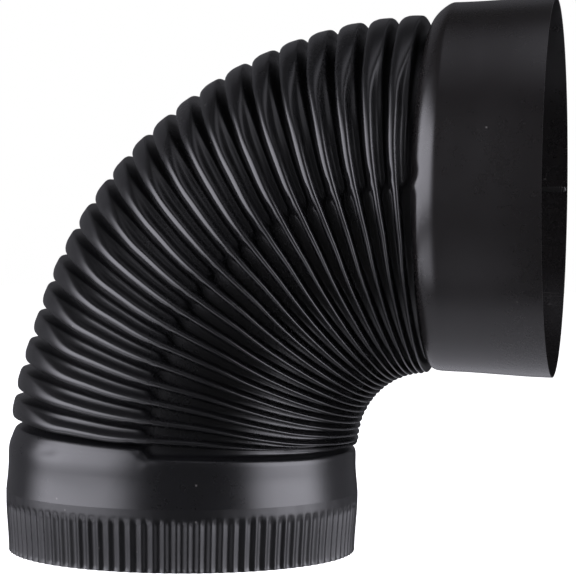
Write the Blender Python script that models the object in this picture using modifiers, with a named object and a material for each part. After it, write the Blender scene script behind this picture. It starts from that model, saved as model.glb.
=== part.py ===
"""A 90 degree corrugated stove pipe elbow in sheet steel, painted black.

The pipe starts at its crimped rim, which lies on z = 0 and faces down. It runs straight up, bends
through a quarter turn in the XZ plane and ends at its plain rim, which faces +X. The origin is the
middle of the elbow's base. The heel is the outer side of the bend and the throat its inner side.
"""

import bpy
import bmesh
import numpy as np
from functools import partial
from math import pi
from math import radians

# Driving sizes, in metres. Every radius is measured to the outside of the sheet.
SHEET = 0.000607
GAP = 0.00033

SOCKET_RADIUS = 0.0768
SOCKET_LENGTH = 0.0495
SOCKET_TAPER = 0.0018
RIM_STRAIGHT = 0.0030

COLLAR_RADIUS = 0.0723
COLLAR_LENGTH = 0.0470

CRIMP_COUNT = 100
CRIMP_BAND = 0.0250
CRIMP_FADE = 0.0040
CRIMP_DEPTH = 0.0014
CRIMP_STEP = 0.0009
CRIMP_TAPER = 0.0012

THROAT_RADIUS = 0.0307
BEND_ANGLE = radians(90.0)
FOLD_RUNS = (("lower_folds", 7), ("middle_folds", 7), ("upper_folds", 7))
HEEL_DROP = 0.0049
HEEL_DROP_RISE = (-0.05, 0.22)
HEEL_GROOVE_DEPTH = 0.0050
THROAT_GROOVE_DEPTH = 0.0046

WELD_RADIUS = 0.0005
WELD_CLEARANCE = 0.0006
WELD_SIDE = radians(90.0)

# The grooves' places along the bend, in ridge pitches: plain stretches lead in and out of them.
LEAD_IN = 0.53
LEAD_OUT = 0.12
CUT_FLAT = 0.0006

# The ridges lean: at the throat the lowest one stands this far below its place at the heel.
THROAT_LEAD = 0.0033

# Where a ridge's shoulder and corner stand between its two grooves, at the heel and at the throat.
HEEL_SHOULDER = 0.17
HEEL_CORNER = 0.85
THROAT_SHOULDER = 0.36
THROAT_CORNER = 0.64
SHOULDER_FALL = 0.0007

# Where the collar and the socket turn into their first groove: how far along, and how deep.
STEP_RUN = 0.0025
COLLAR_SHOULDER_RUN = 0.0030
COLLAR_SHOULDER = ((0.20, 0.10), (0.62, 0.42))
SOCKET_SHOULDER_RUN = 0.0070
SOCKET_SHOULDER = ((0.22, 0.60), (0.55, 0.20))

# Facets around the pipe.
BEND_COLUMNS = 32
COLLAR_COLUMNS = 48
COLUMNS_PER_CRIMP = 2

# Worked out from the sizes above.
PIPE_RADIUS = (COLLAR_RADIUS + SOCKET_RADIUS - SOCKET_TAPER) / 2
BEND_RADIUS = THROAT_RADIUS + PIPE_RADIUS
BEND_LENGTH = BEND_RADIUS * BEND_ANGLE
BEND_START = COLLAR_LENGTH
RIDGE_COUNT = sum(count for name, count in FOLD_RUNS)
BEND_END = BEND_START + BEND_LENGTH
PIPE_END = BEND_END + SOCKET_LENGTH
PITCH = BEND_LENGTH / (LEAD_IN + RIDGE_COUNT + LEAD_OUT)
FIRST_GROOVE = BEND_START + LEAD_IN * PITCH
LAST_GROOVE = BEND_END - LEAD_OUT * PITCH
MIDDLE_X = (BEND_RADIUS + SOCKET_LENGTH - COLLAR_RADIUS - CRIMP_STEP) / 2


def smooth(edge_low, edge_high, value):
    """0 below the low edge, 1 above the high edge, and a soft rise between them."""
    share = np.clip((value - edge_low) / (edge_high - edge_low), 0.0, 1.0)
    return share * share * (3.0 - 2.0 * share)


def mix(low, high, share):
    return low + (high - low) * share


def throat_share(around):
    """0 at the heel and 1 at the throat, for an angle around the pipe from the heel."""
    return (1.0 - np.cos(around)) / 2


def lean(station, around):
    """How far a ring is set back along the pipe: most at the throat, where the bend starts."""
    rise = smooth(CRIMP_BAND + STEP_RUN, BEND_START, station)
    fade = 1.0 - np.clip((station - BEND_START) / BEND_LENGTH, 0.0, 1.0)
    return THROAT_LEAD * throat_share(around) * rise * fade


def place(station, radius, around):
    """The point at a distance along the centre line, a radius and an angle round from the heel."""
    turn = np.clip((station - BEND_START) / BEND_RADIUS, 0.0, BEND_ANGLE)
    straight = min(station - BEND_START, 0.0) + max(station - BEND_END, 0.0)
    along = straight - lean(station, around)
    reach = BEND_RADIUS + radius * np.cos(around)
    x = BEND_RADIUS - reach * np.cos(turn) + along * np.sin(turn) - MIDDLE_X
    z = BEND_START + reach * np.sin(turn) + along * np.cos(turn)
    return (x, radius * np.sin(around), z)


def along_bend(length, around):
    """The stretch of centre line that holds a real length on one side of the bent pipe."""
    return length * BEND_RADIUS / (BEND_RADIUS + PIPE_RADIUS * np.cos(around))


def cut_edges(around):
    """How far a cut wall's edge, and the flat that leads to it, stand from the groove's middle."""
    return along_bend(GAP / 2, around), along_bend(GAP / 2 + CUT_FLAT, around)


def bend_radius_at(station, around):
    """The outside radius of the ridges: low at the heel, full at the throat."""
    along = (station - BEND_START) / BEND_LENGTH
    pipe = mix(COLLAR_RADIUS, SOCKET_RADIUS - SOCKET_TAPER, along)
    drop = HEEL_DROP * smooth(*HEEL_DROP_RISE, along)
    return pipe - mix(drop, 0.0, throat_share(around))


def groove_radius_at(station, around):
    depth = mix(HEEL_GROOVE_DEPTH, THROAT_GROOVE_DEPTH, throat_share(around))
    return bend_radius_at(station, around) - depth


def spigot_profile(around):
    """(station, outside radius) down the crimped band, whose flutes fade out at its upper end."""
    flute = (1.0 - np.cos(CRIMP_COUNT * around)) / 2
    band = COLLAR_RADIUS + CRIMP_STEP
    full = CRIMP_BAND - CRIMP_FADE
    return [
        (0.0, band - CRIMP_TAPER - CRIMP_DEPTH * flute),
        (RIM_STRAIGHT, band - CRIMP_TAPER - CRIMP_DEPTH * flute),
        (full, band - CRIMP_DEPTH * flute),
        (CRIMP_BAND - GAP / 2 - CUT_FLAT, band),
        (CRIMP_BAND - GAP / 2, band),
    ]


def collar_profile(around):
    """The plain collar above the crimps, then its round shoulder down to the first groove."""
    shoulder = FIRST_GROOVE - BEND_START
    depth = COLLAR_RADIUS - groove_radius_at(FIRST_GROOVE, around)
    edge, flat = cut_edges(around)
    step = [
        (CRIMP_BAND + GAP / 2, COLLAR_RADIUS + CRIMP_STEP),
        (CRIMP_BAND + GAP / 2 + CUT_FLAT, COLLAR_RADIUS + CRIMP_STEP),
        (CRIMP_BAND + STEP_RUN, COLLAR_RADIUS),
        (BEND_START - COLLAR_SHOULDER_RUN, COLLAR_RADIUS),
    ]
    turn = [
        (BEND_START + run * shoulder, COLLAR_RADIUS - fall * depth)
        for run, fall in COLLAR_SHOULDER
    ]
    groove = [
        (FIRST_GROOVE - flat, COLLAR_RADIUS - depth),
        (FIRST_GROOVE - edge, COLLAR_RADIUS - depth),
    ]
    return step + turn + groove


def ridge_points(first, count, around):
    """A run of ridges, each a round shoulder and a sharp corner, and the grooves between them."""
    share = throat_share(around)
    shoulder = mix(HEEL_SHOULDER, THROAT_SHOULDER, share)
    corner = mix(HEEL_CORNER, THROAT_CORNER, share)
    points = []
    for ridge in range(first, first + count):
        groove = FIRST_GROOVE + ridge * PITCH
        if ridge > first:
            points.append((groove, groove_radius_at(groove, around)))
        crest = bend_radius_at(groove + corner * PITCH, around)
        points.append((groove + shoulder * PITCH, crest - SHOULDER_FALL))
        points.append((groove + corner * PITCH, crest))
    return points


def folds_profile(first, count, around):
    """A run of ridges from the cut in its first groove to the cut in its last."""
    start = FIRST_GROOVE + first * PITCH
    end = start + count * PITCH
    edge, flat = cut_edges(around)
    start_radius = groove_radius_at(start, around)
    end_radius = groove_radius_at(end, around)
    head = [(start + edge, start_radius), (start + flat, start_radius)]
    tail = [(end - flat, end_radius), (end - edge, end_radius)]
    return head + ridge_points(first, count, around) + tail


def socket_profile(around):
    """The round shoulder up from the last groove, then the socket, which widens to its rim."""
    neck = SOCKET_RADIUS - SOCKET_TAPER
    shoulder = BEND_END + SOCKET_SHOULDER_RUN - LAST_GROOVE
    depth = neck - groove_radius_at(LAST_GROOVE, around)
    edge, flat = cut_edges(around)
    groove = [
        (LAST_GROOVE + edge, neck - depth),
        (LAST_GROOVE + flat, neck - depth),
    ]
    turn = [
        (LAST_GROOVE + run * shoulder, neck - fall * depth)
        for run, fall in SOCKET_SHOULDER
    ]
    socket = [
        (BEND_END + SOCKET_SHOULDER_RUN, neck),
        (PIPE_END - RIM_STRAIGHT, SOCKET_RADIUS),
        (PIPE_END, SOCKET_RADIUS),
    ]
    return groove + turn + socket


def black_paint(name, colour, roughness):
    material = bpy.data.materials.new(name)
    material.use_nodes = True
    shader = material.node_tree.nodes["Principled BSDF"]
    shader.inputs["Base Color"].default_value = (*colour, 1.0)
    shader.inputs["Roughness"].default_value = roughness
    shader.inputs["Metallic"].default_value = 0.0
    return material


def add_object(name, data, collection, material):
    piece = bpy.data.objects.new(name, data)
    collection.objects.link(piece)
    piece.data.materials.append(material)
    return piece


def rolled_sheet(name, profile, columns, collection, material):
    """A flat sheet of cells rolled into a pipe wall on a profile, its two edges joined."""
    rings = len(profile(0.0))
    mesh = bmesh.new()
    bmesh.ops.create_grid(mesh, x_segments=rings - 1, y_segments=columns, size=1.0)
    for vertex in mesh.verts:
        ring = round((vertex.co.x + 1.0) / 2 * (rings - 1))
        column = round((vertex.co.y + 1.0) / 2 * columns) % columns
        around = 2 * pi * column / columns
        station, radius = profile(around)[ring]
        vertex.co = place(station, radius - SHEET / 2, around)
    bmesh.ops.remove_doubles(mesh, verts=mesh.verts, dist=0.00001)
    bmesh.ops.recalc_face_normals(mesh, faces=mesh.faces)
    data = bpy.data.meshes.new(name)
    mesh.to_mesh(data)
    mesh.free()
    data.shade_smooth()
    data.set_sharp_from_angle(angle=radians(30.0))
    piece = add_object(name, data, collection, material)
    wall = piece.modifiers.new("wall", "SOLIDIFY")
    wall.thickness = SHEET
    wall.offset = 0.0
    wall.use_even_offset = True
    return piece


def weld_line(profile):
    """The middle of a weld bead that lies along the wall's inside, clear of its folds."""
    points = np.array(profile(WELD_SIDE))
    points[:, 1] -= SHEET / 2
    lift = -(SHEET / 2 + WELD_CLEARANCE + WELD_RADIUS)
    steps = np.diff(points, axis=0)
    normals = np.stack([-steps[:, 1], steps[:, 0]], axis=1)
    normals /= np.linalg.norm(normals, axis=1)[:, None]
    before = np.vstack([normals[:1], normals])
    after = np.vstack([normals, normals[-1:]])
    middle = before + after
    mitre = 2 * lift / np.einsum("ij,ij->i", middle, middle)
    line = points + middle * mitre[:, None]
    for end, inner in ((0, 1), (-1, -2)):
        back = line[inner] - line[end]
        line[end] += back / np.linalg.norm(back) * WELD_CLEARANCE
    return line


def weld_bead(name, profile, collection, material):
    """A round bead along the seam of the sheet, inside the pipe on its +Y side."""
    line = weld_line(profile)
    curve = bpy.data.curves.new(name, "CURVE")
    curve.dimensions = "3D"
    curve.bevel_depth = WELD_RADIUS
    curve.bevel_resolution = 2
    curve.use_fill_caps = True
    spline = curve.splines.new("POLY")
    spline.points.add(len(line) - 1)
    for point, (station, radius) in zip(spline.points, line):
        point.co = (*place(station, radius, WELD_SIDE), 1.0)
    return add_object(name, curve, collection, material)


def clear_scene():
    for item in list(bpy.data.objects):
        bpy.data.objects.remove(item, do_unlink=True)


def build_elbow():
    elbow = bpy.data.collections.new("flue_elbow")
    bpy.context.scene.collection.children.link(elbow)
    paint = (0.012, 0.012, 0.013)
    rolled_sheet(
        "crimped_spigot",
        spigot_profile,
        CRIMP_COUNT * COLUMNS_PER_CRIMP,
        elbow,
        black_paint("crimped_spigot_paint", paint, 0.42),
    )
    rolled_sheet(
        "lower_collar",
        collar_profile,
        COLLAR_COLUMNS,
        elbow,
        black_paint("lower_collar_paint", paint, 0.42),
    )
    first = 0
    for name, count in FOLD_RUNS:
        rolled_sheet(
            name,
            partial(folds_profile, first, count),
            BEND_COLUMNS,
            elbow,
            black_paint(name + "_paint", paint, 0.40),
        )
        first += count
    rolled_sheet(
        "plain_socket",
        socket_profile,
        COLLAR_COLUMNS,
        elbow,
        black_paint("plain_socket_paint", paint, 0.45),
    )
    weld_bead(
        "lower_collar_weld",
        lambda around: collar_profile(around)[1:4],
        elbow,
        black_paint("lower_collar_weld_paint", paint, 0.50),
    )
    weld_bead(
        "bend_weld",
        partial(ridge_points, 0, RIDGE_COUNT),
        elbow,
        black_paint("bend_weld_paint", paint, 0.50),
    )
    weld_bead(
        "socket_weld",
        lambda around: socket_profile(around)[3:],
        elbow,
        black_paint("socket_weld_paint", paint, 0.50),
    )


clear_scene()
build_elbow()
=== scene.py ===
"""The looks of the black corrugated stove pipe elbow: its folded sheet, crimps, seam and paint.

Every wall is one sheet of cells that geometry nodes lay along the bent pipe: a station along the
centre line, a radius and an angle round from the heel. The heel is the outer side of the bend and
the throat its inner side. The folds change their shape half way between them, at the side.
"""

import bpy
from math import cos
from math import pi
from math import radians
from math import sin
from mathutils import Matrix
from mathutils import Vector


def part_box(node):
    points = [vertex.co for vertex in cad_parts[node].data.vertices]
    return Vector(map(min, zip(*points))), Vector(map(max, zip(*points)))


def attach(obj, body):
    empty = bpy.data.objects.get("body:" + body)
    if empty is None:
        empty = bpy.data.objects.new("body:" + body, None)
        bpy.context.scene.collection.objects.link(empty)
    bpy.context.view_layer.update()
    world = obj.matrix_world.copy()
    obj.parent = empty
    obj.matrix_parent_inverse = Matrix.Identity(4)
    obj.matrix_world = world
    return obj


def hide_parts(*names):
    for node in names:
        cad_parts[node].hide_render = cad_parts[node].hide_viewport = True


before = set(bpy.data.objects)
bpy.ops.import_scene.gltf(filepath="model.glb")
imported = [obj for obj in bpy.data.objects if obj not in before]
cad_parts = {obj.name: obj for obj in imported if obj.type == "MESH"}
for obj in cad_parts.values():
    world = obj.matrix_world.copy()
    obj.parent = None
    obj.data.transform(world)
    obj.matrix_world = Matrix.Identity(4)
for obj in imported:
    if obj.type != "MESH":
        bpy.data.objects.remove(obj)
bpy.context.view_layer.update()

# The elbow's own sizes, in metres. Every radius is measured to the outside of the sheet.
SHEET = 0.000607
SPIGOT_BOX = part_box("crimped_spigot")
SOCKET_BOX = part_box("plain_socket")
SOCKET_RADIUS = (SOCKET_BOX[1].y - SOCKET_BOX[0].y) / 2
SOCKET_MIDDLE_Z = (SOCKET_BOX[0].z + SOCKET_BOX[1].z) / 2
SPIGOT_MIDDLE_X = (SPIGOT_BOX[0].x + SPIGOT_BOX[1].x) / 2
SOCKET_LENGTH = 0.0495
SOCKET_TAPER = 0.0018
COLLAR_RADIUS = 0.0723
CRIMP_BAND = 0.0250
CRIMP_STEP = 0.0009
CRIMP_TAPER = 0.0012
CRIMP_COUNT = 100
BEND_START = 0.0470
BEND_RADIUS = SOCKET_MIDDLE_Z - BEND_START
BEND_LENGTH = BEND_RADIUS * pi / 2
BEND_END = BEND_START + BEND_LENGTH
PIPE_END = BEND_END + SOCKET_LENGTH
NECK_RADIUS = SOCKET_RADIUS - SOCKET_TAPER
HEEL_DROP = 0.0049
THROAT_RISE = 0.0011
THROAT_LEAD = 0.0033
LEAN_START = 0.0275
LEAD_IN = 0.53
LEAD_OUT = 0.12
FOLD_RUNS = (("lower_folds", 7), ("middle_folds", 7), ("upper_folds", 7))
FOLD_COUNT = sum(count for name, count in FOLD_RUNS)
PITCH = BEND_LENGTH / (LEAD_IN + FOLD_COUNT + LEAD_OUT)
FIRST_GROOVE = BEND_START + LEAD_IN * PITCH
LAST_GROOVE = BEND_END - LEAD_OUT * PITCH

# A fold's section at four places round the pipe, from one groove to the next: how far along,
# as a share of the pitch, and how high, as a share of the groove's depth.
HEEL_SECTION = (
    (0.0, 0.0), (0.06, 0.12), (0.095, 0.38), (0.13, 0.68), (0.18, 0.89), (0.30, 0.97),
    (0.44, 1.0), (0.60, 0.99), (0.765, 0.965), (0.805, 0.91), (0.83, 0.68), (0.88, 0.16),
    (1.0, 0.0),
)
SINKING_SECTION = (
    (0.0, 0.0), (0.025, 0.34), (0.055, 0.67), (0.10, 0.87), (0.16, 0.955), (0.23, 0.99),
    (0.31, 1.0), (0.39, 0.94), (0.49, 0.71), (0.62, 0.47), (0.795, 0.39), (0.85, 0.14),
    (1.0, 0.0),
)
SIDE_SECTION = (
    (0.0, 0.0), (0.06, 0.02), (0.10, 0.11), (0.12, 0.43), (0.145, 0.75), (0.21, 0.93),
    (0.31, 1.0), (0.41, 0.93), (0.475, 0.75), (0.50, 0.43), (0.52, 0.11), (0.70, 0.02),
    (1.0, 0.0),
)
THROAT_SECTION = (
    (0.0, 0.0), (0.04, 0.03), (0.08, 0.16), (0.12, 0.46), (0.17, 0.78), (0.25, 0.95),
    (0.37, 1.0), (0.49, 0.95), (0.57, 0.78), (0.62, 0.46), (0.66, 0.16), (0.76, 0.03),
    (1.0, 0.0),
)
# The collar's and the socket's sections: a share of their length, and a share of the groove's depth.
COLLAR_HEEL_SECTION = (
    (0.0, 1.0), (0.05, 1.0), (0.18, 1.0), (0.34, 1.0), (0.50, 1.0), (0.62, 0.995),
    (0.72, 0.965), (0.81, 0.90), (0.89, 0.79), (0.935, 0.68), (0.955, 0.48), (0.975, 0.18),
    (1.0, 0.0),
)
COLLAR_THROAT_SECTION = (
    (0.0, 1.0), (0.05, 1.0), (0.18, 1.0), (0.36, 1.0), (0.54, 1.0), (0.68, 1.0),
    (0.745, 0.985), (0.79, 0.92), (0.815, 0.76), (0.832, 0.48), (0.855, 0.17), (0.91, 0.02),
    (1.0, 0.0),
)
SOCKET_SECTION = (
    (0.0, 0.0), (0.010, 0.20), (0.022, 0.48), (0.040, 0.73), (0.062, 0.88), (0.092, 0.96),
    (0.135, 0.99), (0.20, 1.0), (0.34, 1.0), (0.54, 1.0), (0.76, 1.0), (0.94, 1.0),
    (1.0, 1.0),
)

# How deep the grooves are at the heel, the side and the throat, and how finely walls are divided.
HEEL_DEPTH = 0.0074
SIDE_DEPTH = 0.0058
THROAT_DEPTH = 0.0046
RINGS_PER_FOLD = 24
FOLD_COLUMNS = 288
COLUMN_CROWDING = 0.3
JOIN_DISTANCE = 0.000002
SHARP_EDGE = radians(62.0)
COLLAR_RINGS = 96
SOCKET_RINGS = 96
COLLAR_BEAD_RINGS = 120
FOLD_BEAD_RINGS = 40
SOCKET_BEAD_RINGS = 240

# Where one section gives way to the next, in degrees round from the heel.
DEPTH_ANGLES = (40.0, 90.0)
SINKING_ANGLES = (30.0, 62.0)
RIBBED_ANGLES = (87.4, 93.0)
PLEATED_ANGLES = (110.0, 170.0)
SAG_ANGLES = (108.0, 150.0)
COLLAR_SIDE_ANGLES = (88.5, 92.5)


class Field:
    """A value that changes over the sheet: arithmetic on it adds Math nodes to its node tree."""

    def __init__(self, tree, socket):
        self.tree = tree
        self.socket = socket

    def math(self, operation, *others):
        node = self.tree.nodes.new("ShaderNodeMath")
        node.operation = operation
        for slot, value in zip(node.inputs, (self, *others)):
            plug(self.tree, slot, value)
        return Field(self.tree, node.outputs[0])

    def __add__(self, other):
        return self.math("ADD", other)

    def __sub__(self, other):
        return self.math("SUBTRACT", other)

    def __mul__(self, other):
        return self.math("MULTIPLY", other)

    def __truediv__(self, other):
        return self.math("DIVIDE", other)

    __radd__ = __add__
    __rmul__ = __mul__

    def __rtruediv__(self, other):
        return self.math("POWER", -1.0) * other

    def __rsub__(self, other):
        return (self * -1.0) + other


def plug(tree, slot, value):
    """Links a field into a socket, or writes a plain value on it."""
    if isinstance(value, Field):
        tree.links.new(value.socket, slot)
    else:
        slot.default_value = value


def cosine(field):
    return field.math("COSINE")


def sine(field):
    return field.math("SINE")


def clamp(field, low=0.0, high=1.0):
    return field.math("MAXIMUM", low).math("MINIMUM", high)


def smooth(low, high, field):
    """0 below the low edge, 1 above the high edge, and a soft rise between them."""
    share = clamp((field - low) / (high - low))
    return share * share * (3.0 - share * 2.0)


def mix(low, high, share):
    return low + (high - low) * share


def bump(field, centre, width):
    """A soft bell that is 1 at the centre and nearly 0 two widths away."""
    reach = (field - centre) / width
    return (reach * reach * -1.0).math("EXPONENT")


def new_tree(name, inputs, outputs, kind="GeometryNodeTree"):
    """A node group with named sockets: (name, kind, value) in, (name, kind) out."""
    tree = bpy.data.node_groups.new(name, kind)
    for label, socket_kind, value in inputs:
        socket = tree.interface.new_socket(label, in_out="INPUT", socket_type=socket_kind)
        if value is not None:
            socket.default_value = value
    for label, socket_kind in outputs:
        tree.interface.new_socket(label, in_out="OUTPUT", socket_type=socket_kind)
    given = tree.nodes.new("NodeGroupInput")
    result = tree.nodes.new("NodeGroupOutput")
    fields = {label: Field(tree, given.outputs[label]) for label, socket_kind, value in inputs}
    return tree, fields, result


def add_node(tree, kind, **settings):
    node = tree.nodes.new(kind)
    for name, value in settings.items():
        setattr(node, name, value)
    return node


def use_group(tree, group, **values):
    """Places a node group; an underscore in a keyword stands for a space in the socket's name."""
    shading = group.bl_idname == "ShaderNodeTree"
    node = tree.nodes.new("ShaderNodeGroup" if shading else "GeometryNodeGroup")
    node.node_tree = group
    for name, value in values.items():
        plug(tree, node.inputs[name.replace("_", " ")], value)
    return [Field(tree, output) for output in node.outputs]


def curve_of(tree, field, heights):
    """A Float Curve through evenly spaced heights, rounded where it turns."""
    node = tree.nodes.new("ShaderNodeFloatCurve")
    points = node.mapping.curves[0].points
    while len(points) < len(heights):
        points.new(0.5, 0.5)
    for index, height in enumerate(heights):
        points[index].location = (index / (len(heights) - 1), height)
        points[index].handle_type = "AUTO_CLAMPED"
    node.mapping.use_clip = False
    node.mapping.update()
    plug(tree, node.inputs["Value"], field)
    return Field(tree, node.outputs[0])


def section_of(tree, share, section):
    """The run and the rise of a fold's section, for a share of the way through its points."""
    run = curve_of(tree, share, [point[0] for point in section])
    rise = curve_of(tree, share, [point[1] for point in section])
    return run, rise


def build_place_group():
    """Station, radius and angle to a point on the bent pipe."""
    inputs = [
        ("Station", "NodeSocketFloat", 0.0),
        ("Radius", "NodeSocketFloat", 0.07),
        ("Around", "NodeSocketFloat", 0.0),
        ("Bend Radius", "NodeSocketFloat", BEND_RADIUS),
        ("Bend Start", "NodeSocketFloat", BEND_START),
        ("Bend Length", "NodeSocketFloat", BEND_LENGTH),
        ("Middle", "NodeSocketFloat", SPIGOT_MIDDLE_X),
        ("Throat Lead", "NodeSocketFloat", THROAT_LEAD),
        ("Lean Start", "NodeSocketFloat", LEAN_START),
    ]
    tree, given, result = new_tree("place_on_elbow", inputs, [("Position", "NodeSocketVector")])
    station = given["Station"]
    past = station - given["Bend Start"]
    share = clamp(past / given["Bend Length"])
    turn = share * (pi / 2)
    straight = past.math("MINIMUM", 0.0) + (past - given["Bend Length"]).math("MAXIMUM", 0.0)
    throat = (1.0 - cosine(given["Around"])) / 2.0
    lean = given["Throat Lead"] * throat * smooth(given["Lean Start"], given["Bend Start"], station)
    along = straight - lean * (1.0 - share)
    reach = given["Bend Radius"] + given["Radius"] * cosine(given["Around"])
    x = given["Middle"] + given["Bend Radius"] - reach * cosine(turn) + along * sine(turn)
    y = given["Radius"] * sine(given["Around"])
    z = given["Bend Start"] + reach * sine(turn) + along * cosine(turn)
    joined = add_node(tree, "ShaderNodeCombineXYZ")
    for slot, value in zip(joined.inputs, (x, y, z)):
        plug(tree, slot, value)
    tree.links.new(joined.outputs[0], result.inputs["Position"])
    return tree


def build_crest_group():
    """The outside radius of the pipe along the bend: low at the heel, full at the throat."""
    inputs = [
        ("Station", "NodeSocketFloat", 0.0),
        ("Around", "NodeSocketFloat", 0.0),
        ("Collar Radius", "NodeSocketFloat", COLLAR_RADIUS),
        ("Neck Radius", "NodeSocketFloat", NECK_RADIUS),
        ("Heel Drop", "NodeSocketFloat", HEEL_DROP),
        ("Throat Rise", "NodeSocketFloat", THROAT_RISE),
        ("Bend Start", "NodeSocketFloat", BEND_START),
        ("Bend Length", "NodeSocketFloat", BEND_LENGTH),
    ]
    outputs = [("Crest", "NodeSocketFloat"), ("Throat", "NodeSocketFloat")]
    tree, given, result = new_tree("crest_of_elbow", inputs, outputs)
    along = (given["Station"] - given["Bend Start"]) / given["Bend Length"]
    throat = (1.0 - cosine(given["Around"])) / 2.0
    pipe = mix(given["Collar Radius"], given["Neck Radius"], clamp(along))
    drop = given["Heel Drop"] * smooth(-0.05, 0.22, along)
    rise = given["Throat Rise"] * smooth(0.75, 1.0, throat)
    rise = rise * smooth(0.0, 0.06, along) * smooth(1.0, 0.94, along)
    crest = pipe - drop * (1.0 - throat) + rise
    plug(tree, result.inputs["Crest"], crest)
    plug(tree, result.inputs["Throat"], throat)
    return tree


def build_grid(tree, rings, columns):
    """A flat grid of cells; gives its geometry, its ring number and its place round the pipe."""
    grid = add_node(tree, "GeometryNodeMeshGrid")
    grid.inputs["Size X"].default_value = 1.0
    grid.inputs["Size Y"].default_value = 1.0
    plug(tree, grid.inputs["Vertices X"], rings + 1.0)
    plug(tree, grid.inputs["Vertices Y"], columns + 1.0)
    position = add_node(tree, "GeometryNodeInputPosition")
    split = add_node(tree, "ShaderNodeSeparateXYZ")
    tree.links.new(position.outputs[0], split.inputs[0])
    ring = ((Field(tree, split.outputs["X"]) + 0.5) * rings).math("ROUND")
    turn = (Field(tree, split.outputs["Y"]) + 0.5) * (2 * pi)
    return Field(tree, grid.outputs["Mesh"]), ring, turn


def crowd_at_sides(turn):
    """Draws the columns together at the two sides of the pipe, where the folds change shape."""
    return turn + sine(turn * 2.0) * COLUMN_CROWDING


def away_from_heel(around):
    """The angle from the heel line in degrees, alike on both sides of the pipe."""
    return cosine(around).math("ARCCOSINE") * (180 / pi)


def finish_wall(tree, result, mesh, place, material, height=None):
    """Moves the grid to its place, joins its two edges and paints it."""
    moved = add_node(tree, "GeometryNodeSetPosition")
    plug(tree, moved.inputs["Geometry"], mesh)
    plug(tree, moved.inputs["Position"], place)
    stored = add_node(tree, "GeometryNodeStoreNamedAttribute", data_type="FLOAT", domain="POINT")
    stored.inputs["Name"].default_value = "height"
    plug(tree, stored.inputs["Geometry"], Field(tree, moved.outputs[0]))
    plug(tree, stored.inputs["Value"], 1.0 if height is None else height)
    merged = add_node(tree, "GeometryNodeMergeByDistance")
    merged.inputs["Distance"].default_value = JOIN_DISTANCE
    real = add_node(tree, "GeometryNodeRealizeInstances")
    smoothed = add_node(tree, "GeometryNodeSetShadeSmooth")
    painted = add_node(tree, "GeometryNodeSetMaterial")
    plug(tree, painted.inputs["Material"], material)
    tree.links.new(stored.outputs[0], merged.inputs["Geometry"])
    tree.links.new(merged.outputs[0], real.inputs[0])
    tree.links.new(real.outputs[0], smoothed.inputs["Geometry"])
    tree.links.new(smoothed.outputs[0], painted.inputs["Geometry"])
    tree.links.new(painted.outputs[0], result.inputs["Geometry"])


def unevenness(tree, around, station, size, seed):
    """A slow hand-made unevenness round and along the pipe, from -1 to 1."""
    place = add_node(tree, "ShaderNodeCombineXYZ")
    plug(tree, place.inputs["X"], cosine(around) * size)
    plug(tree, place.inputs["Y"], sine(around) * size)
    plug(tree, place.inputs["Z"], station * 40.0 * size + seed * 7.3)
    noise = add_node(tree, "ShaderNodeTexNoise")
    noise.inputs["Scale"].default_value = 1.0
    noise.inputs["Detail"].default_value = 1.0
    tree.links.new(place.outputs[0], noise.inputs["Vector"])
    return (Field(tree, noise.outputs[0]) - 0.5) * 2.0


DEPTH_INPUTS = [
    ("Heel Depth", "NodeSocketFloat", HEEL_DEPTH),
    ("Side Depth", "NodeSocketFloat", SIDE_DEPTH),
    ("Throat Depth", "NodeSocketFloat", THROAT_DEPTH),
]
WALL_OUTPUTS = [
    ("Station", "NodeSocketFloat"),
    ("Radius", "NodeSocketFloat"),
    ("Rise", "NodeSocketFloat"),
]


def groove_depth(given, side):
    """How deep a groove is, from the heel to the throat."""
    heel_half = mix(given["Heel Depth"], given["Side Depth"], smooth(*DEPTH_ANGLES, side))
    return mix(heel_half, given["Throat Depth"], smooth(*PLEATED_ANGLES, side))


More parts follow.
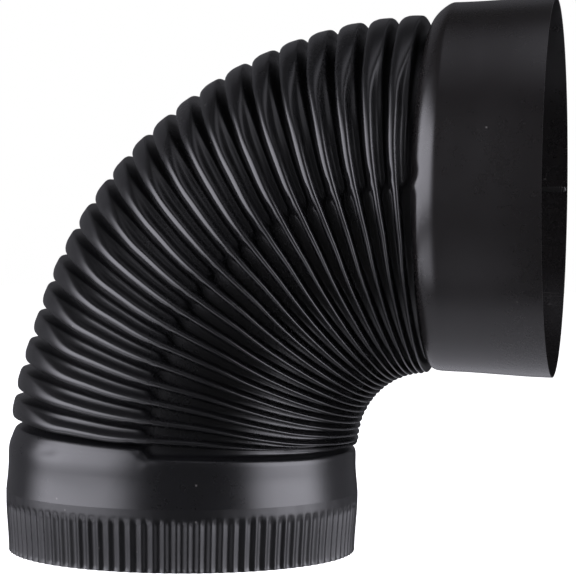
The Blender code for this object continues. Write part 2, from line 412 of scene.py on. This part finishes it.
def build_fold_section(crest_group):
    """The folded wall at a place along the folds, counted in folds, and round the pipe."""
    inputs = [
        ("Along", "NodeSocketFloat", 0.0),
        ("Around", "NodeSocketFloat", 0.0),
        ("First Groove", "NodeSocketFloat", FIRST_GROOVE),
        ("Pitch", "NodeSocketFloat", PITCH),
        *DEPTH_INPUTS,
        ("Set Back", "NodeSocketFloat", 0.0009),
        ("Sag", "NodeSocketFloat", 0.0036),
        ("Waviness", "NodeSocketFloat", 0.0003),
        ("Seed", "NodeSocketFloat", 3.0),
    ]
    tree, given, result = new_tree("fold_section", inputs, WALL_OUTPUTS)
    around = given["Around"]
    side = away_from_heel(around)
    number = (given["Along"] + 0.0001).math("FLOOR")
    share = given["Along"] - number

    sinking = smooth(*SINKING_ANGLES, side)
    ribbed = smooth(*RIBBED_ANGLES, side)
    pleated = smooth(*PLEATED_ANGLES, side)
    runs = []
    rises = []
    for section in (HEEL_SECTION, SINKING_SECTION, SIDE_SECTION, THROAT_SECTION):
        run, rise = section_of(tree, share, section)
        runs.append(run)
        rises.append(rise)
    run = mix(mix(mix(runs[0], runs[1], sinking), runs[2], ribbed), runs[3], pleated)
    rise = mix(mix(mix(rises[0], rises[1], sinking), rises[2], ribbed), rises[3], pleated)

    foot = bump(share, 0.24, 0.12)
    pinch = bump(side, 89.6, 1.2) * 0.02 - bump(side, 86.2, 2.2) * 0.05
    run = run - foot * pinch

    slow = unevenness(tree, around, number * given["Pitch"], 3.0, given["Seed"])
    sway = bump(side, 80.0, 9.0) * -0.0003 + bump(side, 106.0, 10.0) * 0.0007
    place = number + run
    station = given["First Groove"] + place * given["Pitch"]
    bow = sine((station - BEND_START) / BEND_RADIUS * 2.0) * given["Set Back"]
    low_folds = smooth(0.0, 1.0, place) * bump(place, 1.2, 2.6)
    sag = given["Sag"] * smooth(*SAG_ANGLES, side) * low_folds
    station = station - bow - sag + rise * (sway + slow * given["Waviness"])

    crest = use_group(tree, crest_group, Station=station, Around=around)[0]
    depth = groove_depth(given, side)
    radius = crest - depth * (1.0 - rise) - slow * given["Waviness"] * 0.6
    plug(tree, result.inputs["Station"], station)
    plug(tree, result.inputs["Radius"], radius)
    plug(tree, result.inputs["Rise"], rise)
    return tree


def build_collar_section(crest_group):
    """The plain collar above the crimps, with its shoulder down to the first groove."""
    inputs = [
        ("Along", "NodeSocketFloat", 0.0),
        ("Around", "NodeSocketFloat", 0.0),
        ("Band Top", "NodeSocketFloat", CRIMP_BAND),
        ("First Groove", "NodeSocketFloat", FIRST_GROOVE),
        ("Collar Radius", "NodeSocketFloat", COLLAR_RADIUS),
        ("Step", "NodeSocketFloat", CRIMP_STEP),
        *DEPTH_INPUTS,
        ("Dent", "NodeSocketFloat", 0.0005),
        ("Waviness", "NodeSocketFloat", 0.00018),
        ("Seed", "NodeSocketFloat", 5.0),
    ]
    tree, given, result = new_tree("collar_section", inputs, WALL_OUTPUTS)
    around = given["Around"]
    side = away_from_heel(around)
    length = given["First Groove"] - given["Band Top"]
    heel_run, heel_rise = section_of(tree, given["Along"], COLLAR_HEEL_SECTION)
    throat_run, throat_rise = section_of(tree, given["Along"], COLLAR_THROAT_SECTION)
    past_side = smooth(*COLLAR_SIDE_ANGLES, side)
    run = mix(heel_run, throat_run, past_side)
    rise = mix(heel_rise, throat_rise, past_side)
    station = given["Band Top"] + run * length
    crest = use_group(tree, crest_group, Station=station, Around=around)[0]
    wall = mix(given["Collar Radius"], crest, smooth(0.6, 1.0, run))
    lip = given["Step"] * (1.0 - smooth(-0.5, 0.5, run)) * 2.0
    lip = lip.math("MINIMUM", given["Step"])
    dent = bump(side, 54.0, 5.0) * bump(run, 0.80, 0.075) * given["Dent"]
    crease = bump(side - (1.0 - run) * 26.0, 86.0, 1.8) * bump(run, 0.84, 0.10) * given["Dent"]
    slow = unevenness(tree, around, station, 1.6, given["Seed"]) * given["Waviness"]
    drop = groove_depth(given, side) * (1.0 - rise)
    radius = wall - drop + lip - dent - crease * 0.5 + slow * rise
    plug(tree, result.inputs["Station"], station)
    plug(tree, result.inputs["Radius"], radius)
    plug(tree, result.inputs["Rise"], rise)
    return tree


def build_socket_section(crest_group):
    """The round shoulder up from the last groove, then the socket, which widens to its rim."""
    inputs = [
        ("Along", "NodeSocketFloat", 0.0),
        ("Around", "NodeSocketFloat", 0.0),
        ("Last Groove", "NodeSocketFloat", LAST_GROOVE),
        ("Pipe End", "NodeSocketFloat", PIPE_END),
        ("Neck Radius", "NodeSocketFloat", NECK_RADIUS),
        ("Rim Radius", "NodeSocketFloat", SOCKET_RADIUS),
        *DEPTH_INPUTS,
        ("Waviness", "NodeSocketFloat", 0.00015),
        ("Seed", "NodeSocketFloat", 9.0),
    ]
    tree, given, result = new_tree("socket_section", inputs, WALL_OUTPUTS)
    around = given["Around"]
    side = away_from_heel(around)
    length = given["Pipe End"] - given["Last Groove"]
    run, rise = section_of(tree, given["Along"], SOCKET_SECTION)
    foot = 1.0 - smooth(0.0, 0.13, run)
    pinch = bump(side, 90.0, 1.8) * 0.018 - bump(side, 85.5, 2.6) * 0.014
    run = run - foot * smooth(0.0, 0.01, run) * pinch
    station = given["Last Groove"] + run * length
    crest = use_group(tree, crest_group, Station=station, Around=around)[0]
    straight = mix(given["Neck Radius"], given["Rim Radius"], smooth(0.12, 1.0, run))
    wall = mix(crest, straight, smooth(0.0, 0.20, run))
    slow = unevenness(tree, around, station, 1.6, given["Seed"]) * given["Waviness"]
    drop = groove_depth(given, side) * (1.0 - rise)
    radius = wall - drop + slow * (1.0 - smooth(0.5, 1.0, run)) * rise
    plug(tree, result.inputs["Station"], station)
    plug(tree, result.inputs["Radius"], radius)
    plug(tree, result.inputs["Rise"], rise)
    return tree


def build_wall_tree(section_group, place_group, rings_each):
    """A wall from one place along to another, as a sheet all round the pipe."""
    inputs = [
        ("Material", "NodeSocketMaterial", None),
        ("From", "NodeSocketFloat", 0.0),
        ("To", "NodeSocketFloat", 1.0),
        ("Rings per Step", "NodeSocketFloat", float(rings_each)),
        ("Columns", "NodeSocketFloat", float(FOLD_COLUMNS)),
    ]
    name = section_group.name.replace("section", "wall")
    tree, given, result = new_tree(name, inputs, [("Geometry", "NodeSocketGeometry")])
    rings = (given["To"] - given["From"]) * given["Rings per Step"]
    mesh, ring, turn = build_grid(tree, rings, given["Columns"])
    around = crowd_at_sides(turn)
    along = given["From"] + ring / given["Rings per Step"]
    station, radius, rise = use_group(tree, section_group, Along=along, Around=around)
    point = use_group(tree, place_group, Station=station, Radius=radius, Around=around)[0]
    finish_wall(tree, result, mesh, point, given["Material"], rise)
    return tree


def build_bead_tree(section_group, place_group, rings_each):
    """A rippled weld bead along the seam inside a wall, thinning out to nothing at its ends."""
    inputs = [
        ("Material", "NodeSocketMaterial", None),
        ("From", "NodeSocketFloat", 0.0),
        ("To", "NodeSocketFloat", 1.0),
        ("Rings per Step", "NodeSocketFloat", float(rings_each)),
        ("Columns", "NodeSocketFloat", 12.0),
        ("Seam Angle", "NodeSocketFloat", pi / 2),
        ("Half Width", "NodeSocketFloat", 0.0012),
        ("Thickness", "NodeSocketFloat", 0.0004),
        ("Ripple Length", "NodeSocketFloat", 0.0011),
        ("Ripple Depth", "NodeSocketFloat", 0.16),
    ]
    name = section_group.name.replace("section", "bead")
    tree, given, result = new_tree(name, inputs, [("Geometry", "NodeSocketGeometry")])
    rings = (given["To"] - given["From"]) * given["Rings per Step"]
    mesh, ring, turn = build_grid(tree, rings, given["Columns"])
    along = given["From"] + ring / given["Rings per Step"]
    seam = given["Seam Angle"]
    station, radius = use_group(tree, section_group, Along=along, Around=seam)[:2]
    step = 0.3 / given["Rings per Step"]
    back = use_group(tree, section_group, Along=along - step, Around=seam)
    ahead = use_group(tree, section_group, Along=along + step, Around=seam)
    run = ahead[0] - back[0]
    climb = ahead[1] - back[1]
    reach = (run * run + climb * climb).math("SQRT").math("MAXIMUM", 0.000001)
    ends = smooth(0.0, 5.0, ring) * smooth(0.0, 5.0, rings - ring)
    ripple = sine(station / given["Ripple Length"] * (2 * pi) + cosine(turn) * 1.2)
    size = ends * (1.0 + ripple * given["Ripple Depth"])
    inward = SHEET - 0.0001 + given["Thickness"] * sine(turn) * size
    middle = use_group(
        tree,
        place_group,
        Station=station + inward * climb / reach,
        Radius=radius - inward * run / reach,
        Around=seam + cosine(turn) * size * given["Half Width"] / radius,
    )[0]
    finish_wall(tree, result, mesh, middle, given["Material"])
    return tree


def build_spigot_tree(place_group):
    """The crimped band: soft flutes that fade out in a low step at its upper end."""
    inputs = [
        ("Material", "NodeSocketMaterial", None),
        ("Rings", "NodeSocketFloat", 40.0),
        ("Columns per Crimp", "NodeSocketFloat", 12.0),
        ("Crimps", "NodeSocketFloat", float(CRIMP_COUNT)),
        ("Band Top", "NodeSocketFloat", CRIMP_BAND),
        ("Collar Radius", "NodeSocketFloat", COLLAR_RADIUS),
        ("Step", "NodeSocketFloat", CRIMP_STEP),
        ("Taper", "NodeSocketFloat", CRIMP_TAPER),
        ("Crimp Depth", "NodeSocketFloat", 0.0009),
        ("Seed", "NodeSocketFloat", 11.0),
    ]
    tree, given, result = new_tree("spigot_wall", inputs, [("Geometry", "NodeSocketGeometry")])
    columns = given["Crimps"] * given["Columns per Crimp"]
    mesh, ring, turn = build_grid(tree, given["Rings"], columns)
    share = ring / given["Rings"]
    station = given["Band Top"] * share
    number = (turn * given["Crimps"] / (2 * pi)).math("ROUND")
    uneven = unevenness(tree, number * 0.31, number * 0.013, 3.0, given["Seed"])
    top = 0.84 + uneven * 0.03
    wave = (1.0 - cosine(turn * given["Crimps"])) / 2.0
    flute = wave.math("POWER", 0.8) * (1.0 - smooth(top - 0.10, top + 0.04, share))
    rim = 1.0 - smooth(0.0, 0.06, share)
    taper = given["Taper"] * (1.0 - smooth(0.0, 0.9, share))
    depth = given["Crimp Depth"] * (1.0 + uneven * 0.15) * (1.0 - rim * 0.35)
    radius = given["Collar Radius"] + given["Step"] - taper - depth * flute
    point = use_group(tree, place_group, Station=station, Radius=radius, Around=turn)[0]
    finish_wall(tree, result, mesh, point, given["Material"], 1.0 - flute)
    return tree


def make_piece(name, tree, material, sheet=0.0, **sizes):
    """Runs a piece's tree, gives a sheet its thickness and keeps the result as a plain mesh."""
    holder = bpy.data.objects.new(name + "_maker", bpy.data.meshes.new(name + "_maker"))
    bpy.context.scene.collection.objects.link(holder)
    modifier = holder.modifiers.new("wall", "NODES")
    modifier.node_group = tree
    sockets = {
        item.name: item.identifier
        for item in tree.interface.items_tree
        if item.in_out == "INPUT"
    }
    modifier[sockets["Material"]] = material
    for label, value in sizes.items():
        modifier[sockets[label.replace("_", " ")]] = value
    if sheet:
        thickness = holder.modifiers.new("sheet", "SOLIDIFY")
        thickness.thickness = sheet
        thickness.offset = -1.0
    graph = bpy.context.evaluated_depsgraph_get()
    graph.update()
    mesh = bpy.data.meshes.new_from_object(holder.evaluated_get(graph))
    mesh.name = name
    mesh.set_sharp_from_angle(angle=SHARP_EDGE)
    bpy.data.objects.remove(holder)
    piece = bpy.data.objects.new(name, mesh)
    bpy.context.scene.collection.objects.link(piece)
    return piece


def keep(piece, slot_name, *nodes):
    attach(piece, "root")
    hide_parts(*nodes)


def mapped_noise(tree, place, stretch, scale, detail, roughness=0.5):
    """Noise over the object's own coordinates, stretched along an axis."""
    mapping = add_node(tree, "ShaderNodeMapping")
    mapping.inputs["Scale"].default_value = stretch
    plug(tree, mapping.inputs["Vector"], place)
    noise = add_node(tree, "ShaderNodeTexNoise")
    noise.inputs["Detail"].default_value = detail
    noise.inputs["Roughness"].default_value = roughness
    tree.links.new(mapping.outputs[0], noise.inputs["Vector"])
    plug(tree, noise.inputs["Scale"], scale)
    return Field(tree, noise.outputs[0])


def build_grain_group():
    """The fine pebbled skin of sprayed paint."""
    inputs = [("Place", "NodeSocketVector", None), ("Fineness", "NodeSocketFloat", 1100.0)]
    outputs = [("Height", "NodeSocketFloat"), ("Dullness", "NodeSocketFloat")]
    tree, given, result = new_tree("paint_grain", inputs, outputs, "ShaderNodeTree")
    fine = mapped_noise(tree, given["Place"], (1.0, 1.0, 1.0), given["Fineness"], 3.0, 0.6)
    broad = mapped_noise(tree, given["Place"], (1.0, 1.0, 1.0), given["Fineness"] * 0.22, 2.0)
    plug(tree, result.inputs["Height"], fine * 0.6 + broad * 0.4)
    plug(tree, result.inputs["Dullness"], (fine - 0.5) * 0.8 + (broad - 0.5) * 0.6)
    return tree


def build_cloud_group():
    """Slow patches where hands and the press have left the paint a little duller."""
    inputs = [("Place", "NodeSocketVector", None), ("Size", "NodeSocketFloat", 22.0)]
    outputs = [("Patches", "NodeSocketFloat")]
    tree, given, result = new_tree("handling_patches", inputs, outputs, "ShaderNodeTree")
    slow = mapped_noise(tree, given["Place"], (1.0, 1.0, 0.7), given["Size"], 4.0, 0.6)
    plug(tree, result.inputs["Patches"], smooth(0.36, 0.68, slow))
    return tree


def build_speck_group():
    """Small pale specks of dust and chips, scattered thinly."""
    inputs = [
        ("Place", "NodeSocketVector", None),
        ("Density", "NodeSocketFloat", 260.0),
        ("Amount", "NodeSocketFloat", 0.2),
    ]
    outputs = [("Specks", "NodeSocketFloat")]
    tree, given, result = new_tree("dust_specks", inputs, outputs, "ShaderNodeTree")
    cells = add_node(tree, "ShaderNodeTexVoronoi")
    plug(tree, cells.inputs["Vector"], given["Place"])
    plug(tree, cells.inputs["Scale"], given["Density"])
    chance = add_node(tree, "ShaderNodeSeparateColor")
    tree.links.new(cells.outputs["Color"], chance.inputs[0])
    wanted = smooth(1.0 - given["Amount"] * 0.1, 1.0, Field(tree, chance.outputs["Red"]))
    dot = 1.0 - smooth(0.05, 0.16, Field(tree, cells.outputs["Distance"]))
    plug(tree, result.inputs["Specks"], dot * wanted)
    return tree


def build_scratch_group():
    """Hairline scratches, long in one direction and broken along their length."""
    inputs = [
        ("Place", "NodeSocketVector", None),
        ("Density", "NodeSocketFloat", 90.0),
        ("Amount", "NodeSocketFloat", 0.5),
    ]
    outputs = [("Scratches", "NodeSocketFloat")]
    tree, given, result = new_tree("hairline_scratches", inputs, outputs, "ShaderNodeTree")
    lines = []
    for stretch in ((0.10, 1.0, 1.0), (1.0, 1.0, 0.10)):
        long_noise = mapped_noise(tree, given["Place"], stretch, given["Density"] * 4.0, 1.0)
        line = 1.0 - smooth(0.0, 0.012, (long_noise - 0.5).math("ABSOLUTE"))
        lines.append(line)
    broken = mapped_noise(tree, given["Place"], (1.0, 1.0, 1.0), given["Density"] * 0.35, 2.0)
    share = smooth(0.74 - given["Amount"] * 0.2, 0.80 - given["Amount"] * 0.2, broken)
    scratches = lines[0].math("MAXIMUM", lines[1]) * share
    plug(tree, result.inputs["Scratches"], scratches)
    return tree


def build_rub_group():
    """Where a raised edge has been rubbed: near the crest of a fold or a crimp, in patches."""
    inputs = [
        ("Place", "NodeSocketVector", None),
        ("Height", "NodeSocketFloat", 1.0),
        ("Amount", "NodeSocketFloat", 0.5),
    ]
    outputs = [("Rubbed", "NodeSocketFloat")]
    tree, given, result = new_tree("rubbed_crests", inputs, outputs, "ShaderNodeTree")
    patches = mapped_noise(tree, given["Place"], (1.0, 1.0, 1.0), 130.0, 4.0, 0.65)
    broken = smooth(0.52, 0.72, patches)
    crest = smooth(0.90, 1.0, given["Height"])
    plug(tree, result.inputs["Rubbed"], crest * broken * given["Amount"])
    return tree


def build_paint_groups():
    return {
        "grain": build_grain_group(),
        "patches": build_cloud_group(),
        "specks": build_speck_group(),
        "scratches": build_scratch_group(),
        "rubbed": build_rub_group(),
    }


def paint_material(name, groups, colour, roughness, grain, scratched, dusty, rubbed):
    """Satin black paint on sheet steel, with its grain, dull patches, dust, scratches and rubs."""
    material = bpy.data.materials.new(name)
    material.use_nodes = True
    tree = material.node_tree
    shader = tree.nodes["Principled BSDF"]
    coordinates = add_node(tree, "ShaderNodeTexCoord")
    place = Field(tree, coordinates.outputs["Object"])
    relief = add_node(tree, "ShaderNodeAttribute", attribute_name="height")
    height = Field(tree, relief.outputs["Fac"])

    pebbles, dullness = use_group(tree, groups["grain"], Place=place)
    patches = use_group(tree, groups["patches"], Place=place)[0]
    specks = use_group(tree, groups["specks"], Place=place, Amount=dusty)[0]
    scratches = use_group(tree, groups["scratches"], Place=place, Amount=scratched)[0]
    rubs = use_group(tree, groups["rubbed"], Place=place, Height=height, Amount=rubbed)[0]

    hollow = 1.0 - smooth(0.0, 0.5, height)
    shade = add_node(tree, "ShaderNodeMix", data_type="RGBA")
    shade.inputs["A"].default_value = (*colour, 1.0)
    shade.inputs["B"].default_value = (*[part * 1.7 for part in colour], 1.0)
    plug(tree, shade.inputs["Factor"], patches * 0.3 + rubs * 0.5)
    dust = add_node(tree, "ShaderNodeMix", data_type="RGBA")
    dust.inputs["B"].default_value = (0.20, 0.19, 0.18, 1.0)
    plug(tree, dust.inputs["Factor"], clamp(specks * 0.5 + scratches * 0.10))
    tree.links.new(shade.outputs["Result"], dust.inputs["A"])
    tree.links.new(dust.outputs["Result"], shader.inputs["Base Color"])

    dull = dullness * 0.06 + patches * 0.03 + scratches * 0.10 + hollow * 0.05 - rubs * 0.06
    plug(tree, shader.inputs["Roughness"], clamp(dull + roughness, 0.12, 0.9))
    bump_node = add_node(tree, "ShaderNodeBump")
    bump_node.inputs["Strength"].default_value = 0.35
    bump_node.inputs["Distance"].default_value = 0.0001
    surface = pebbles * grain - scratches * 0.25 + specks * 0.3
    plug(tree, bump_node.inputs["Height"], surface)
    tree.links.new(bump_node.outputs[0], shader.inputs["Normal"])
    shader.inputs["IOR"].default_value = 1.5
    return material


def build_walls():
    place_group = build_place_group()
    crest_group = build_crest_group()
    groups = build_paint_groups()
    spigot_paint = paint_material(
        "crimped_band_paint", groups, colour=(0.0064, 0.0064, 0.0070), roughness=0.34,
        grain=0.5, scratched=0.6, dusty=0.6, rubbed=0.8,
    )
    collar_paint = paint_material(
        "collar_paint", groups, colour=(0.0060, 0.0060, 0.0066), roughness=0.28,
        grain=0.4, scratched=0.4, dusty=0.4, rubbed=0.2,
    )
    fold_paint = paint_material(
        "fold_paint", groups, colour=(0.0062, 0.0062, 0.0066), roughness=0.25,
        grain=0.3, scratched=0.1, dusty=0.2, rubbed=0.5,
    )
    socket_paint = paint_material(
        "socket_paint", groups, colour=(0.0074, 0.0066, 0.0066), roughness=0.27,
        grain=0.45, scratched=0.3, dusty=0.4, rubbed=0.1,
    )
    weld_paint = paint_material(
        "weld_bead_paint", groups, colour=(0.0070, 0.0066, 0.0062), roughness=0.42,
        grain=1.6, scratched=0.1, dusty=0.8, rubbed=0.5,
    )

    spigot = make_piece("crimped_spigot_sheet", build_spigot_tree(place_group), spigot_paint, SHEET)
    keep(spigot, "black_paint", "crimped_spigot")

    collar_section = build_collar_section(crest_group)
    collar_wall = build_wall_tree(collar_section, place_group, COLLAR_RINGS)
    collar = make_piece("lower_collar_sheet", collar_wall, collar_paint, SHEET)
    keep(collar, "black_paint", "lower_collar")
    collar_bead = build_bead_tree(collar_section, place_group, COLLAR_BEAD_RINGS)
    bead = make_piece("lower_collar_bead", collar_bead, weld_paint, From=0.02, To=0.97)
    keep(bead, "weld_paint", "lower_collar_weld")

    fold_section = build_fold_section(crest_group)
    fold_wall = build_wall_tree(fold_section, place_group, RINGS_PER_FOLD)
    first = 0.0
    for name, count in FOLD_RUNS:
        folds = make_piece(name + "_sheet", fold_wall, fold_paint, SHEET, From=first, To=first + count)
        keep(folds, "black_paint", name)
        first += count
    fold_bead = build_bead_tree(fold_section, place_group, FOLD_BEAD_RINGS)
    bead = make_piece("bend_bead", fold_bead, weld_paint, From=0.1, To=first - 0.1)
    keep(bead, "weld_paint", "bend_weld")

    socket_section = build_socket_section(crest_group)
    socket_wall = build_wall_tree(socket_section, place_group, SOCKET_RINGS)
    socket = make_piece("plain_socket_sheet", socket_wall, socket_paint, SHEET)
    keep(socket, "black_paint", "plain_socket")
    socket_bead = build_bead_tree(socket_section, place_group, SOCKET_BEAD_RINGS)
    bead = make_piece("socket_bead", socket_bead, weld_paint, From=0.1, To=0.985)
    keep(bead, "weld_paint", "socket_weld")


# The studio. Angles are in degrees, from the camera's axis and above the floor.
CAMERA_AZIMUTH = 10.2
CAMERA_ELEVATION = 2.0
CAMERA_ROLL = 0.46
CAMERA_DISTANCE = 1.0
CAMERA_LENS = 151.1
CAMERA_SENSOR = 36.0
CAMERA_TARGET = Vector((0.0038, 0.0, 0.1093))
PANEL_DISTANCE = 1.3
PANEL_COLOUR = (0.96, 0.95, 1.05)
PANEL_CELLS = 16
WORLD_LIGHT = 0.045


def direction(left, up):
    """A unit vector that many degrees left of the camera's axis and above the floor."""
    azimuth = radians(CAMERA_AZIMUTH - left)
    rise = radians(up)
    return Vector((sin(azimuth) * cos(rise), -cos(azimuth) * cos(rise), sin(rise)))


def facing(place, target):
    """A matrix at a place whose -Z looks at the target."""
    return Matrix.Translation(place) @ (target - place).to_track_quat("-Z", "Y").to_matrix().to_4x4()


def add_camera():
    data = bpy.data.cameras.new("camera")
    data.lens = CAMERA_LENS
    data.sensor_width = CAMERA_SENSOR
    camera = bpy.data.objects.new("camera", data)
    bpy.context.scene.collection.objects.link(camera)
    place = CAMERA_TARGET + direction(0.0, CAMERA_ELEVATION) * CAMERA_DISTANCE
    camera.matrix_world = facing(place, CAMERA_TARGET) @ Matrix.Rotation(radians(CAMERA_ROLL), 4, "Z")
    bpy.context.scene.camera = camera


def glow(name, power, edge):
    """Light from a panel: full in its middle and fading out over a soft edge."""
    material = bpy.data.materials.new(name)
    material.use_nodes = True
    tree = material.node_tree
    tree.nodes.clear()
    output = tree.nodes.new("ShaderNodeOutputMaterial")
    shine = tree.nodes.new("ShaderNodeEmission")
    place = tree.nodes.new("ShaderNodeTexCoord")
    split = tree.nodes.new("ShaderNodeSeparateXYZ")
    tree.links.new(place.outputs["UV"], split.inputs[0])
    across = (Field(tree, split.outputs["X"]) - 0.5).math("ABSOLUTE")
    upward = (Field(tree, split.outputs["Y"]) - 0.5).math("ABSOLUTE")
    middle = smooth(0.5, 0.5 - edge, across) * smooth(0.5, 0.5 - edge, upward)
    plug(tree, shine.inputs["Strength"], middle * power)
    shine.inputs["Color"].default_value = (*PANEL_COLOUR, 1.0)
    tree.links.new(shine.outputs[0], output.inputs["Surface"])
    return material


def panel(name, corner_at, material):
    """A soft light that the camera doesn't see, laid through corner_at(across, upward)."""
    cells = PANEL_CELLS
    mesh = bpy.data.meshes.new(name)
    shares = [index / cells for index in range(cells + 1)]
    points = [corner_at(across, upward) for upward in shares for across in shares]
    faces = []
    for row in range(cells):
        for column in range(cells):
            start = row * (cells + 1) + column
            faces.append((start, start + 1, start + cells + 2, start + cells + 1))
    mesh.from_pydata(points, [], faces)
    uv = mesh.uv_layers.new(name="UVMap")
    for loop in mesh.loops:
        index = loop.vertex_index
        uv.data[loop.index].uv = (index % (cells + 1) / cells, index // (cells + 1) / cells)
    mesh.materials.append(material)
    light = bpy.data.objects.new(name, mesh)
    bpy.context.scene.collection.objects.link(light)
    light.visible_camera = False
    light.visible_shadow = False


def curved_panel(name, left, up, power, edge):
    """A panel wrapped round the elbow between two bearings and two heights, in degrees."""

    def corner_at(across, upward):
        bearing = left[0] + (left[1] - left[0]) * across
        height = up[0] + (up[1] - up[0]) * upward
        return CAMERA_TARGET + direction(bearing, height) * PANEL_DISTANCE

    panel(name, corner_at, glow(name + "_glow", power, edge))


def flat_panel(name, x, y, z, power, edge):
    """A level panel above or below the elbow."""

    def corner_at(across, upward):
        return (x[0] + (x[1] - x[0]) * across, y[0] + (y[1] - y[0]) * upward, z)

    panel(name, corner_at, glow(name + "_glow", power, edge))


def add_studio():
    curved_panel("left_panel", (26.0, 114.0), (-19.0, 46.0), 5.4, 0.26)
    curved_panel("right_panel", (-40.0, -108.0), (-26.0, 50.0), 6.4, 0.28)
    curved_panel("back_left_panel", (118.0, 200.0), (-30.0, 50.0), 0.14, 0.12)
    curved_panel("back_right_panel", (-116.0, -160.0), (-30.0, 50.0), 0.14, 0.12)
    curved_panel("left_floor_light", (24.0, 118.0), (-72.0, -20.0), 3.1, 0.25)
    curved_panel("right_floor_light", (-34.0, -112.0), (-72.0, -22.0), 3.5, 0.25)
    flat_panel("top_panel", (-0.45, 0.9), (-0.98, 0.74), 1.4, 0.95, 0.5)
    flat_panel("floor_bounce", (-0.5, 0.7), (-0.28, 1.40), -0.30, 0.66, 0.12)
    bpy.ops.mesh.primitive_plane_add(size=6.0)
    floor = bpy.context.object
    floor.name = "pale_floor"
    floor.visible_glossy = False
    paint = bpy.data.materials.new("pale_floor_paint")
    paint.use_nodes = True
    tree = paint.node_tree
    shader = tree.nodes["Principled BSDF"]
    shader.inputs["Base Color"].default_value = (0.9, 0.9, 0.9, 1.0)
    shader.inputs["Roughness"].default_value = 0.9
    shader.inputs["Emission Color"].default_value = (1.0, 1.0, 1.0, 1.0)
    ray = tree.nodes.new("ShaderNodeLightPath")
    tree.links.new(ray.outputs["Is Camera Ray"], shader.inputs["Emission Strength"])
    floor.data.materials.append(paint)
    world = bpy.data.worlds.new("studio")
    bpy.context.scene.world = world
    world.use_nodes = True
    sky = world.node_tree
    background = sky.nodes["Background"]
    ray = sky.nodes.new("ShaderNodeLightPath")
    strength = Field(sky, ray.outputs["Is Camera Ray"]) * (1.0 - WORLD_LIGHT) + WORLD_LIGHT
    plug(sky, background.inputs["Strength"], strength)
    background.inputs["Color"].default_value = (1.0, 1.0, 1.0, 1.0)
    bpy.context.scene.view_settings.view_transform = "Standard"
    bpy.context.scene.view_settings.look = "None"


build_walls()
add_camera()
add_studio()
